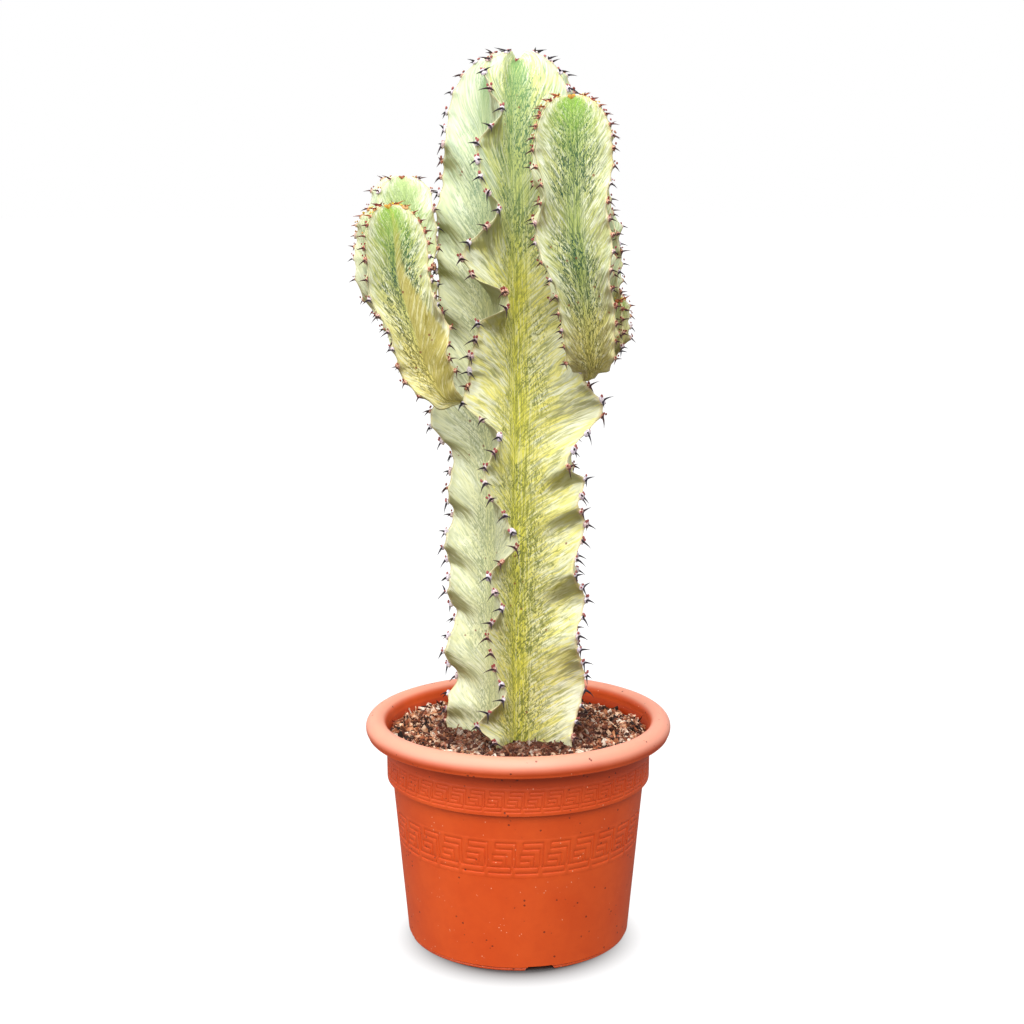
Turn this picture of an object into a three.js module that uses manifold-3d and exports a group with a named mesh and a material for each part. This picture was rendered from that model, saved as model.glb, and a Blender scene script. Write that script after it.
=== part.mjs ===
// A potted variegated euphorbia: a five-ribbed column with four side stems, in a terracotta-coloured
// plastic pot. Millimetres, +Z up. The pot stands on Z = 0 with its axis on the origin, and the
// front of the plant faces -Y. An azimuth is counted in degrees from the front towards +X.
import * as THREE from 'three';
import { mergeVertices } from 'three/addons/utils/BufferGeometryUtils.js';
import Module from 'manifold-3d';

// Pot, a moulding with one wall thickness, a collar that steps out and a rolled rim.
const SECTORS = 42;
const FOOT_RADIUS = 86.5;
const FOOT_RING = 6.5;
const FLOOR_UNDERSIDE = 4;
const WALL = 2.4;
const BODY_TOP_RADIUS = 99.4;
const COLLAR_HEIGHT = 128.7;
const COLLAR_RADIUS = 103.6;
const RIM_UNDERSIDE = 162;
const RIM_CENTRE = [111.85, 169.5];
const RIM_ROLL = 8.15;
const RIM_RADIUS = RIM_CENTRE[0] + RIM_ROLL;
const NOTCH = { count: 4, azimuth: 11, width: 24.5, top: 17.6, height: 3.7 };
const DRAIN = { count: 4, azimuth: 56, radius: 6, distance: 62 };

// Soil, 13 mm under the rim.
const SOIL_LEVEL = 162;
const SOIL_LUMP = 2.2;

// Stems. Solids that touch keep GAP between them.
const GAP = 0.3;
const STEM_FOOT = 124;
const CREST = 4.4;
const FLANK_HOLLOW = 2;
const FOLD = 1.7;
const AREOLE = 3.5;
const SPINE = { out: 4.2, side: 4.6 };
const FULLY_CLOSED = 88;
const VALLEY_CLOSING = 0.35;

// Smooth curve through [height, value] pairs, level at each pair as a wave is at its peaks.
function along(pairs, height) {
  const last = pairs.length - 1;
  if (height <= pairs[0][0]) return pairs[0][1];
  if (height >= pairs[last][0]) return pairs[last][1];
  const next = pairs.findIndex(([h]) => h > height);
  const [h0, v0] = pairs[next - 1];
  const [h1, v1] = pairs[next];
  return THREE.MathUtils.lerp(v0, v1, THREE.MathUtils.smoothstep(height, h0, h1));
}

// A rib margin's sideways wave where no photograph shows it: two sines of unlike length.
function wave(size, length, phase) {
  return (height) => {
    const turn = (2 * Math.PI * height) / length + phase;
    return size * (0.7 * Math.sin(turn) + 0.3 * Math.sin(1.7 * turn + 1));
  };
}

const list = (pairs) => (height) => along(pairs, height);

// Main column. Each rib has an azimuth, a reach from the axis to its margin, and a swing of the
// margin to the side, towards a higher azimuth. Both change with the height over the ground. A
// valley lies between each rib and the next.
const column = {
  path: [[0, 0, STEM_FOOT], [0, 0, 250], [0.5, 0, 400], [0, 0, 530], [-1, 0, 634]],
  areole: 14,
  lag: 26,
  rooted: 168,
  capHeight: 51,
  dimple: 8,
  tipRadius: 7,
  flanks: [0.4, 0.75],
  valley: list([[168, 18.5], [300, 21], [420, 23], [634, 23]]),
  valleys: [-5, 84, 160, 231, 293],
  ribs: [
    {
      azimuth: -20,
      reach: list([[168, 54], [200, 57], [430, 57], [442, 51], [462, 56], [600, 57], [634, 54]]),
      swing: list([
        [168, 2], [180, -13], [210, 11], [228, 2], [257, -4], [277, 8], [298, -3], [327, 20],
        [345, 11], [362, -2], [376, -7], [405, 6], [431, -24], [455, -19], [488, -11], [502, 13],
        [511, 11], [522, -14], [537, -23], [573, 7], [590, -7], [616, -11], [642, 9], [656, -2],
        [678, -20], [685, 0],
      ]),
    },
    {
      azimuth: 52,
      reach: list([
        [168, 56], [212, 58], [252, 63], [276, 57], [304, 62], [336, 57], [353, 62], [368, 58],
        [395, 59], [424, 68], [445, 63], [458, 54], [480, 58], [634, 54],
      ]),
      swing: list([
        [168, -4], [212, 9], [252, -9], [276, 10], [304, -12], [336, 9], [353, -7], [368, 7],
        [383, -17], [424, 16], [446, 0], [470, -6], [500, 7], [535, -8], [575, 8], [634, -4],
      ]),
    },
    {
      azimuth: 124,
      reach: list([
        [168, 51], [300, 52], [400, 52], [438, 58], [460, 51], [550, 51], [600, 57], [634, 54],
      ]),
      swing: wave(8, 62, 0.4),
    },
    {
      azimuth: 196,
      reach: list([[168, 55], [340, 58], [600, 57], [634, 54]]),
      swing: wave(11, 70, 2.2),
    },
    {
      azimuth: 266,
      reach: list([
        [168, 57], [190, 55], [205, 48], [226, 57], [257, 49], [272, 55], [288, 53], [312, 57],
        [338, 51], [350, 54], [380, 51], [412, 68], [424, 65], [438, 54], [474, 55], [505, 61],
        [566, 61], [590, 57], [634, 52],
      ]),
      swing: list([
        [168, -2], [186, 6], [204, -7], [232, 9], [258, -6], [285, 8], [297, -5], [318, 8],
        [334, -6], [357, 9], [382, -5], [405, 4], [438, 0], [460, 5], [478, -6], [500, 4],
        [520, -5], [535, 4], [548, -5], [570, 6], [595, -7], [622, 8], [640, -4],
      ]),
    },
  ],
};

// Side stems have four ribs, 90 degrees apart. Each grows from a narrow woody neck and turns
// upright. A rib is its swing, or its swing and a reach of its own.
function sideStem({ turn, reach, ribs, ...rest }) {
  const width = list(reach);
  return {
    areole: 12.5,
    lag: 10,
    rooted: 0,
    capHeight: 33,
    dimple: 3,
    tipRadius: 4.5,
    flanks: [0.55],
    valley: (height) => 0.4 * width(height) + 1.2,
    valleys: ribs.map((_, index) => turn + 45 + 90 * index),
    ribs: ribs.map(([swing, own = width], index) => (
      { azimuth: turn + 90 * index, reach: own, swing })),
    ...rest,
  };
}

const armLeftFront = sideStem({
  path: [
    [-48, -54, 434], [-57, -58, 440], [-69, -60, 459], [-80, -62, 490], [-90, -62, 523],
    [-91.5, -62, 541],
  ],
  turn: -31,
  reach: [[432, 7], [439, 15], [450, 23], [478, 30], [520, 32], [541, 32]],
  ribs: [
    [list([[440, 0], [460, -3], [472, 2], [488, 4], [512, -2], [532, 1], [541, 0]])],
    [list([[440, 2], [462, -3], [480, 5], [500, -3], [520, -2], [541, 0]])],
    [wave(4, 44, 1)],
    [wave(3, 40, 0.2), list([[434, 5], [452, 14], [495, 20], [510, 31], [541, 32]])],
  ],
});

const armLeftBack = sideStem({
  path: [[-73, 4, 431], [-77, 4, 444], [-80, 3, 466], [-85, 2, 496], [-88, 2, 526], [-88, 2, 562]],
  areole: 15,
  turn: -30,
  reach: [[430, 5], [440, 9], [462, 17], [500, 28], [562, 31]],
  ribs: [[wave(4, 46, 0.5)], [wave(4, 42, 1.5)], [wave(4, 44, 2.5)], [wave(4, 40, 3.5)]],
});

const armRightFront = sideStem({
  path: [
    [52, -46, 451], [53, -53, 460], [51, -64, 480], [47, -73, 512], [40, -78, 558], [38, -79, 617],
  ],
  turn: -45,
  reach: [[449, 6], [455, 8], [463, 20], [475, 25], [512, 29], [545, 36], [617, 37.5]],
  ribs: [
    [list([[460, 0], [500, 2], [525, 3], [557, -4], [584, 7], [612, -1], [617, 0]])],
    [list([[460, 0], [500, 1], [527, -4], [550, -1], [575, -5], [605, 1], [617, 0]])],
    [wave(5, 50, 1.8)],
    [wave(5, 46, 0.9)],
  ],
});

const armRightBack = sideStem({
  path: [[58, 37, 447], [65, 31, 458], [66, 21, 476], [61, 11, 508], [59, 6, 546]],
  turn: 41,
  reach: [[449, 6], [460, 13], [480, 21], [505, 24], [546, 25]],
  areole: 15,
  capHeight: 27,
  ribs: [
    [wave(2.5, 38, 0.6)],
    [wave(2.5, 36, 1.9)],
    [wave(1, 40, 2.8), list([[449, 6], [480, 10], [546, 13]])],
    [wave(2, 34, 4), list([[449, 6], [480, 14], [546, 20]])],
  ],
});

// A young shoot at the foot of the rear right stem.
const shoot = sideStem({
  path: [[70, 12, 463], [75, 3, 470], [75.5, -2, 481], [75.5, -4, 493]],
  turn: 20,
  reach: [[460, 4], [472, 9], [494, 9]],
  areole: 9,
  capHeight: 10,
  dimple: 2,
  tipRadius: 3,
  ribs: [[wave(1, 20, 0)], [wave(1, 22, 1)], [wave(1, 24, 2)], [wave(1, 20, 3)]],
});

const axisOf = ({ path }) => (
  new THREE.CatmullRomCurve3(path.map((point) => new THREE.Vector3(...point))));

// Place and directions of the stem's axis, a given distance along it.
function frameAt(curve, distance) {
  const share = THREE.MathUtils.clamp(distance / curve.getLength(), 0, 1);
  const centre = curve.getPointAt(share);
  const up = curve.getTangentAt(share);
  const right = new THREE.Vector3(1, 0, 0).addScaledVector(up, -up.x).normalize();
  const front = right.clone().cross(up);
  return { centre, up, right, front };
}

const outwards = ({ right, front }, azimuth) => {
  const angle = THREE.MathUtils.degToRad(azimuth);
  const outward = right.clone().multiplyScalar(Math.sin(angle));
  return outward.addScaledVector(front, Math.cos(angle));
};

// Rings of points that the stem's skin passes through. They come in pairs that bound an areole,
// up the straight part, and then over the cap, where the ribs close on the growing tip.
function stations(stem) {
  const curve = axisOf(stem);
  const rows = [];
  const length = curve.getLength();
  const count = Math.floor((length - stem.areole / 2) / stem.areole);
  rows.push({ distance: 0, close: 0 });
  for (let index = 1; index <= count; index += 1) {
    const middle = length - (count - index + 0.35) * stem.areole;
    rows.push({ distance: middle - AREOLE / 2, close: 0 });
    rows.push({ distance: middle + AREOLE / 2, close: 0, number: index });
  }
  const reach = stem.ribs[0].reach(curve.getPointAt(1).z);
  const arc = 112 * (stem.areole / (reach + stem.capHeight));
  const half = (90 / Math.PI) * (AREOLE / reach);
  for (let angle = arc * 0.55; angle + half < FULLY_CLOSED; angle += arc) {
    rows.push({ distance: length, close: angle - half });
    rows.push({ distance: length, close: angle + half, number: Infinity });
  }
  for (const row of rows) row.frame = frameAt(curve, row.distance);
  return rows;
}

// One point of a rib's flank: share 0 lies in the valley beside the rib, and share 1 on its margin.
function flankPoint(stem, rib, row, side, share, grow) {
  const { frame, close } = row;
  const closing = THREE.MathUtils.degToRad(close);
  const width = Math.cos(closing);
  const height = frame.centre.z;
  const reach = stem.tipRadius * (1 - width) + rib.reach(height) * width + grow;
  const thickness = Math.min(CREST, 0.55 * reach) + 2 * grow;
  const valleyReach = (stem.valley(height) + 1.3 * grow) * width ** VALLEY_CLOSING;
  const index = stem.ribs.indexOf(rib);
  const valleyAzimuth = stem.valleys.at(side > 0 ? index : index - 1);
  const crest = frame.centre.clone()
    .addScaledVector(outwards(frame, rib.azimuth), reach)
    .addScaledVector(outwards(frame, rib.azimuth + 90), (side * thickness) / 2)
    .addScaledVector(frame.up, stem.capHeight * Math.sin(closing));
  const valley = frame.centre.clone()
    .addScaledVector(outwards(frame, valleyAzimuth), valleyReach)
    .addScaledVector(frame.up, (stem.capHeight - stem.dimple) * Math.sin(closing));
  const lag = stem.lag * THREE.MathUtils.smoothstep(height, stem.rooted, stem.rooted + 40);
  const level = Math.max(height, stem.rooted) + stem.capHeight * Math.sin(closing);
  const waved = level + lag * (1 - share);
  const swing = rib.swing(waved) * share ** FOLD * width;
  const hollow = side * FLANK_HOLLOW * 4 * share * (1 - share) * Math.min(1, reach / 30);
  return valley.lerp(crest, share)
    .addScaledVector(outwards(frame, rib.azimuth + 90), swing - hollow);
}

// The ring of points round the stem at one station, from each valley over the rib to the next.
function ring(stem, row, grow) {
  const points = [];
  for (const rib of stem.ribs) {
    for (const share of [0, ...stem.flanks, 1]) {
      points.push(flankPoint(stem, rib, row, -1, share, grow));
    }
    for (const share of [1, ...[...stem.flanks].reverse()]) {
      points.push(flankPoint(stem, rib, row, 1, share, grow));
    }
  }
  return points;
}

// Direction that a rib's margin faces at a station: outwards, and upwards over the cap.
function facing({ frame, close }, azimuth) {
  const closing = THREE.MathUtils.degToRad(close);
  const out = outwards(frame, azimuth).multiplyScalar(Math.cos(closing));
  return out.addScaledVector(frame.up, Math.sin(closing));
}

// Two spines on one areole. Its four corners run round it from the lower left, seen from outside.
function spineFaces(points, corners, row, azimuth) {
  const out = facing(row, azimuth);
  const across = outwards(row.frame, azimuth + 90);
  const [a, b, c, d] = corners;
  const faces = [];
  for (const [side, base] of [[-1, [a, b, d]], [1, [b, c, d]]]) {
    const tip = new THREE.Vector3();
    for (const corner of base) tip.addScaledVector(points[corner], 1 / 3);
    tip.addScaledVector(out, SPINE.out).addScaledVector(across, side * SPINE.side);
    points.push(tip);
    const top = points.length - 1;
    base.forEach((corner, index) => faces.push(corner, base[(index + 1) % 3], top));
  }
  return faces;
}

// The closed skin of a stem. An areole in the soil, or one that bears a side stem, has no spines.
function stemGeometry(stem, { grow = 0, spines = true } = {}) {
  const rows = stations(stem);
  const perRib = 3 + 2 * stem.flanks.length;
  const perRing = perRib * stem.ribs.length;
  const points = rows.flatMap((row) => ring(stem, row, grow));
  const faces = [];
  for (let level = 1; level < rows.length; level += 1) {
    for (let place = 0; place < perRing; place += 1) {
      const low = (level - 1) * perRing;
      const high = level * perRing;
      const next = (place + 1) % perRing;
      const corners = [low + place, low + next, high + next, high + place];
      const onMargin = place % perRib === stem.flanks.length + 1;
      const rib = stem.ribs[Math.floor(place / perRib)];
      const { number, frame } = rows[level];
      const bare = rib.bears === number || frame.centre.z < stem.rooted;
      if (spines && onMargin && number && !bare) {
        faces.push(...spineFaces(points, corners, rows[level], rib.azimuth));
      } else {
        const [a, b, c, d] = corners;
        faces.push(a, b, d, b, c, d);
      }
    }
  }
  const last = rows.length - 1;
  const { centre, up } = rows[last].frame;
  const foot = points.length;
  points.push(stem.seat || rows[0].frame.centre);
  const tip = points.length;
  points.push(centre.clone().addScaledVector(up, stem.capHeight - stem.dimple));
  for (let place = 0; place < perRing; place += 1) {
    const next = (place + 1) % perRing;
    faces.push(next, place, foot);
    faces.push(last * perRing + place, last * perRing + next, tip);
  }
  return new THREE.BufferGeometry().setFromPoints(points).setIndex(faces);
}

// Seats a side stem just outside the column's areole that lies nearest to a height.
function seat(stem, rib, height) {
  const areoles = stations(column).filter((row) => row.number < Infinity);
  const offset = (row) => Math.abs(row.frame.centre.z - height);
  const row = areoles.reduce((best, other) => (offset(other) < offset(best) ? other : best));
  rib.bears = row.number;
  const middle = { ...row, frame: frameAt(axisOf(column), row.distance - AREOLE / 2) };
  const left = flankPoint(column, rib, middle, -1, 1, 0);
  const right = flankPoint(column, rib, middle, 1, 1, 0);
  stem.seat = left.lerp(right, 0.5).addScaledVector(facing(middle, rib.azimuth), 1.2 * GAP);
}

// Conversions between three.js geometry and solids that can be joined and cut.
const wasm = await Module();
wasm.setup();

function toSolid(geometry) {
  const bare = new THREE.BufferGeometry();
  bare.setAttribute('position', geometry.getAttribute('position').clone());
  bare.setIndex(geometry.getIndex());
  const merged = mergeVertices(bare, 1e-4);
  const index = [...merged.getIndex().array];
  const kept = [];
  for (let face = 0; face < index.length; face += 3) {
    const [a, b, c] = index.slice(face, face + 3);
    if (a !== b && b !== c && c !== a) kept.push(a, b, c);
  }
  const vertProperties = new Float32Array(merged.getAttribute('position').array);
  const triVerts = new Uint32Array(kept);
  return new wasm.Manifold(new wasm.Mesh({ numProp: 3, vertProperties, triVerts }));
}

function toGeometry(solid) {
  const mesh = solid.getMesh();
  const geometry = new THREE.BufferGeometry();
  geometry.setAttribute('position', new THREE.Float32BufferAttribute(mesh.vertProperties, 3));
  geometry.setIndex([...mesh.triVerts]);
  return geometry;
}

// A turned solid from [radius, height] points that start and end on the axis.
function turned(profile) {
  const points = profile.map(([radius, height]) => new THREE.Vector2(radius, height));
  return new THREE.LatheGeometry(points, SECTORS).rotateX(Math.PI / 2);
}

// The pot's inner wall, from the floor to the rim. The soil follows it.
const innerWall = [
  [FOOT_RADIUS - WALL + 0.6, FLOOR_UNDERSIDE + WALL],
  [BODY_TOP_RADIUS - WALL, COLLAR_HEIGHT - 2],
  [COLLAR_RADIUS - WALL, COLLAR_HEIGHT + 2],
  [COLLAR_RADIUS - WALL + 0.2, RIM_UNDERSIDE],
];

// Points of the rolled rim, from its lower lip over the top to the inside.
function rimRoll() {
  const points = [];
  for (let angle = -38; angle <= 188; angle += 28.25) {
    const turn = THREE.MathUtils.degToRad(angle);
    const radius = RIM_CENTRE[0] + RIM_ROLL * Math.cos(turn);
    points.push([radius, RIM_CENTRE[1] + RIM_ROLL * Math.sin(turn)]);
  }
  return points;
}

function notchCutter(azimuth) {
  const outline = new THREE.Shape([
    new THREE.Vector2(-NOTCH.width / 2 - 1, -1),
    new THREE.Vector2(NOTCH.width / 2 + 1, -1),
    new THREE.Vector2(NOTCH.top / 2, NOTCH.height),
    new THREE.Vector2(-NOTCH.top / 2, NOTCH.height),
  ]);
  const cutter = new THREE.ExtrudeGeometry(outline, { depth: 30, bevelEnabled: false, steps: 1 });
  cutter.translate(0, 0, FOOT_RADIUS - 24).rotateX(Math.PI / 2);
  return toSolid(cutter.rotateZ(THREE.MathUtils.degToRad(azimuth)));
}

function drainCutter(azimuth) {
  const cutter = new THREE.CylinderGeometry(DRAIN.radius, DRAIN.radius, 20, 12);
  cutter.rotateX(Math.PI / 2).translate(0, -DRAIN.distance, FLOOR_UNDERSIDE);
  return toSolid(cutter.rotateZ(THREE.MathUtils.degToRad(azimuth)));
}

function potGeometry() {
  const profile = [
    [0, FLOOR_UNDERSIDE],
    [FOOT_RADIUS - FOOT_RING - 2, FLOOR_UNDERSIDE],
    [FOOT_RADIUS - FOOT_RING, 0],
    [FOOT_RADIUS, 0],
    [FOOT_RADIUS + 1.2, 3],
    [BODY_TOP_RADIUS, COLLAR_HEIGHT],
    [COLLAR_RADIUS, COLLAR_HEIGHT + 0.5],
    [COLLAR_RADIUS + 0.2, RIM_UNDERSIDE],
    [RIM_RADIUS - 3.6, RIM_UNDERSIDE + 1],
    ...rimRoll(),
    ...[...innerWall].reverse(),
    [0, FLOOR_UNDERSIDE + WALL],
  ];
  let pot = toSolid(turned(profile));
  for (let index = 0; index < NOTCH.count; index += 1) {
    pot = pot.subtract(notchCutter(NOTCH.azimuth + (360 / NOTCH.count) * index));
  }
  for (let index = 0; index < DRAIN.count; index += 1) {
    pot = pot.subtract(drainCutter(DRAIN.azimuth + (360 / DRAIN.count) * index));
  }
  return toGeometry(pot);
}

// Low lumps of bark and peat.
function soilTop(x, y) {
  const lumps = Math.sin(x / 9 + 1) * Math.cos(y / 8) + 0.7 * Math.sin(x / 4.3 - y / 5.1);
  const clump = 4 * Math.exp(-((x + 88) ** 2 + (y - 18) ** 2) / 120);
  return SOIL_LEVEL + SOIL_LUMP * 0.6 * lumps + clump;
}

function soilGeometry() {
  const wall = innerWall.map(([radius, height]) => [radius - GAP, height]);
  const rings = [99.5, 87, 74, 61, 48, 34, 18, 0];
  const profile = [
    [0, wall[0][1] + GAP],
    [wall[0][0], wall[0][1] + GAP],
    wall[1],
    wall[2],
    [wall[3][0] - 0.1, SOIL_LEVEL - 4],
    ...rings.map((radius) => [radius, SOIL_LEVEL]),
  ];
  const body = turned(profile);
  const place = body.getAttribute('position');
  for (let index = 0; index < place.count; index += 1) {
    const [x, y, z] = [place.getX(index), place.getY(index), place.getZ(index)];
    if (z > SOIL_LEVEL - 0.1) place.setZ(index, soilTop(x, y));
  }
  return body;
}

// The column's foot is straight under the soil, so its hole is a plain star-shaped one.
function holeGeometry() {
  const level = column.rooted;
  const foot = STEM_FOOT - GAP;
  const fixed = (value) => () => value;
  const hole = {
    ...column,
    path: [[0, 0, foot], [0, 0, level], [0, 0, 2 * level - foot]],
    capHeight: 0,
    dimple: 0,
    valley: fixed(column.valley(level)),
    ribs: column.ribs.map(({ azimuth, reach, swing }) => (
      { azimuth, reach: fixed(reach(level)), swing: fixed(swing(level)) })),
  };
  return stemGeometry(hole, { grow: 1.4 * GAP, spines: false });
}

const [frontRib, rightRib, rearRib, , leftRib] = column.ribs;
seat(armLeftFront, frontRib, 431);
seat(armLeftBack, leftRib, 424);
seat(armRightFront, rightRib, 446);
seat(armRightBack, rearRib, 438);

const colours = {
  terracotta: { color: '#d4622f', roughness: 0.5, metalness: 0 },
  soil: { color: '#4a3226', roughness: 0.95, metalness: 0 },
  cream: { color: '#cdd08c', roughness: 0.55, metalness: 0 },
  mint: { color: '#b9cf94', roughness: 0.55, metalness: 0 },
};

const plant = new THREE.Group();

function addPiece(name, geometry, finish) {
  const mesh = new THREE.Mesh(geometry, new THREE.MeshStandardMaterial(finish));
  mesh.name = name;
  plant.add(mesh);
}

const soil = toSolid(soilGeometry()).subtract(toSolid(holeGeometry()));
const stemWithShoot = toSolid(stemGeometry(armRightBack)).add(toSolid(stemGeometry(shoot)));

addPiece('pot', potGeometry(), colours.terracotta);
addPiece('soil', toGeometry(soil), colours.soil);
addPiece('column', stemGeometry(column), colours.cream);
addPiece('arm_left_front', stemGeometry(armLeftFront), colours.mint);
addPiece('arm_left_back', stemGeometry(armLeftBack), colours.mint);
addPiece('arm_right_front', stemGeometry(armRightFront), colours.mint);
addPiece('arm_right_back', toGeometry(stemWithShoot), colours.mint);

export default plant;
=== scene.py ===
import math
import random

import bpy
import numpy as np
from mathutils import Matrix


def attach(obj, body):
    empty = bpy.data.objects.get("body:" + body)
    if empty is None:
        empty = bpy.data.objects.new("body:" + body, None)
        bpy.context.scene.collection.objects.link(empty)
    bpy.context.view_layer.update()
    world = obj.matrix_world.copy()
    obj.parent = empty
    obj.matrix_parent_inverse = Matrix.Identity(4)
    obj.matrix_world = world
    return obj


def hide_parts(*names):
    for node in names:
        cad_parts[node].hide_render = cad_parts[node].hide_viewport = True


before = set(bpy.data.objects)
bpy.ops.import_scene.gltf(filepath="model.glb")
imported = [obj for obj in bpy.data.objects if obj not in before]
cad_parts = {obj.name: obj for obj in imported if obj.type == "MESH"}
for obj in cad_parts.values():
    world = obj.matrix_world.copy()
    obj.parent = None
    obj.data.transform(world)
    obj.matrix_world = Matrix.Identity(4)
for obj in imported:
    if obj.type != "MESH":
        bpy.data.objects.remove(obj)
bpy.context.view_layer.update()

# Camera. It stands 1.4 m in front of the plant, level with its upper stems, and looks ten degrees
# down, so that the pot's rim shows as an open ellipse and the soil is seen.
camera = bpy.data.objects.new("camera", bpy.data.cameras.new("camera"))
camera.location = (0, -1.37017, 0.58837)
camera.rotation_euler = (math.radians(79.687), 0, 0)
camera.data.sensor_width = 36
camera.data.lens = 63.25
camera.data.shift_x = -0.00605
bpy.context.scene.collection.objects.link(camera)
bpy.context.scene.camera = camera

# Pot. One injection moulding of terracotta-coloured plastic: a tapered body on a plain foot ring, a
# collar that steps out near the top and a rolled rim. Four low notches in the foot and four holes
# in the floor let water out. Its outline is given as radii and heights.
POT_SECTORS = 168
POT_OUTSIDE = [
    (0.0780, 0.0040), (0.0797, 0.0030), (0.0802, 0.0006), (0.0810, 0.0000), (0.0857, 0.0000),
    (0.0865, 0.0004), (0.0868, 0.0014), (0.0865, 0.0020), (0.0871, 0.0026), (0.0879, 0.0032),
    (0.0900, 0.0260), (0.0927, 0.0550), (0.0947, 0.0770), (0.0943, 0.0771), (0.0972, 0.1089),
    (0.0976, 0.1090), (0.0990, 0.1240), (0.0994, 0.1282), (0.0998, 0.1287), (0.1028, 0.1288),
    (0.1035, 0.1291), (0.1036, 0.1298), (0.10361, 0.1304), (0.10325, 0.1305), (0.10345, 0.1499),
    (0.1038, 0.1500), (0.1039, 0.1606), (0.1043, 0.1614), (0.1052, 0.1617),
    (0.1150, 0.1622), (0.1172, 0.1626), (0.1181, 0.1635),
]
ROLL_MIDDLE = (0.11185, 0.16950)
ROLL_RADIUS = 0.00815
POT_ROLL = [
    (ROLL_MIDDLE[0] + ROLL_RADIUS * math.cos(math.radians(angle)),
     ROLL_MIDDLE[1] + ROLL_RADIUS * math.sin(math.radians(angle)))
    for angle in range(-38, 189, 10)
]
POT_INSIDE = [
    (0.1026, 0.1655), (0.1015, 0.1620), (0.1012, 0.1310), (0.0998, 0.1292), (0.0970, 0.1265),
    (0.0847, 0.0075), (0.0835, 0.0064),
]
NOTCH_SIZE = (0.0245, 0.024, 0.0042)
NOTCH_RADIUS = 0.083
NOTCH_TURN = 11
NOTCH_TOP = 0.74
HOLE_RADIUS = 0.006
HOLE_CIRCLE = 0.062
HOLE_TURN = 56


def deselect():
    """Leaves no object selected."""
    bpy.ops.object.select_all(action="DESELECT")


def edit(selected):
    """Opens the active piece for editing, with all of it selected or nothing."""
    bpy.ops.object.mode_set(mode="EDIT")
    bpy.ops.mesh.select_all(action="SELECT" if selected else "DESELECT")


def close_edit():
    bpy.ops.object.mode_set(mode="OBJECT")


def make_active(piece):
    deselect()
    piece.select_set(True)
    bpy.context.view_layer.objects.active = piece


deselect()
foot_radius, foot_level = POT_OUTSIDE[0]
bpy.ops.mesh.primitive_circle_add(
    vertices=POT_SECTORS, radius=foot_radius, fill_type="TRIFAN", location=(0, 0, foot_level))
pot = bpy.context.object
pot.name = pot.data.name = "pot_moulding"
edit(True)
bpy.ops.mesh.region_to_loop()
radius, level = foot_radius, foot_level
for next_radius, next_level in POT_OUTSIDE[1:] + POT_ROLL + POT_INSIDE:
    bpy.ops.mesh.extrude_edges_move(
        TRANSFORM_OT_translate={"value": (0, 0, next_level - level)})
    bpy.ops.transform.resize(value=(next_radius / radius, next_radius / radius, 1))
    radius, level = next_radius, next_level
bpy.ops.mesh.extrude_edges_move(TRANSFORM_OT_translate={"value": (0, 0, 0)})
bpy.ops.mesh.merge(type="CENTER")
bpy.ops.mesh.select_all(action="SELECT")
bpy.ops.mesh.normals_make_consistent(inside=False)
close_edit()
bpy.ops.object.transform_apply(location=True)


def cut_pot(cutter):
    """Takes the cutter's shape out of the pot."""
    make_active(pot)
    cut = pot.modifiers.new("cut", "BOOLEAN")
    cut.operation = "DIFFERENCE"
    cut.solver = "EXACT"
    cut.object = cutter
    bpy.ops.object.modifier_apply(modifier=cut.name)
    bpy.data.objects.remove(cutter)


for turn in range(4):
    angle = math.radians(NOTCH_TURN + 90 * turn)
    bpy.ops.mesh.primitive_cube_add(
        size=1, rotation=(0, 0, angle), scale=NOTCH_SIZE,
        location=(NOTCH_RADIUS * math.sin(angle), -NOTCH_RADIUS * math.cos(angle), 0.0017))
    notch = bpy.context.object
    edit(False)
    close_edit()
    for vertex in notch.data.vertices:
        vertex.select = vertex.co.z > 0
    bpy.ops.object.mode_set(mode="EDIT")
    bpy.ops.transform.resize(value=(NOTCH_TOP, NOTCH_TOP, 1))
    close_edit()
    cut_pot(notch)
    angle = math.radians(HOLE_TURN + 90 * turn)
    bpy.ops.mesh.primitive_cylinder_add(
        vertices=32, radius=HOLE_RADIUS, depth=0.02,
        location=(HOLE_CIRCLE * math.sin(angle), -HOLE_CIRCLE * math.cos(angle), 0.004))
    cut_pot(bpy.context.object)
make_active(pot)
bpy.ops.object.shade_smooth_by_angle(angle=math.radians(32))


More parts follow.
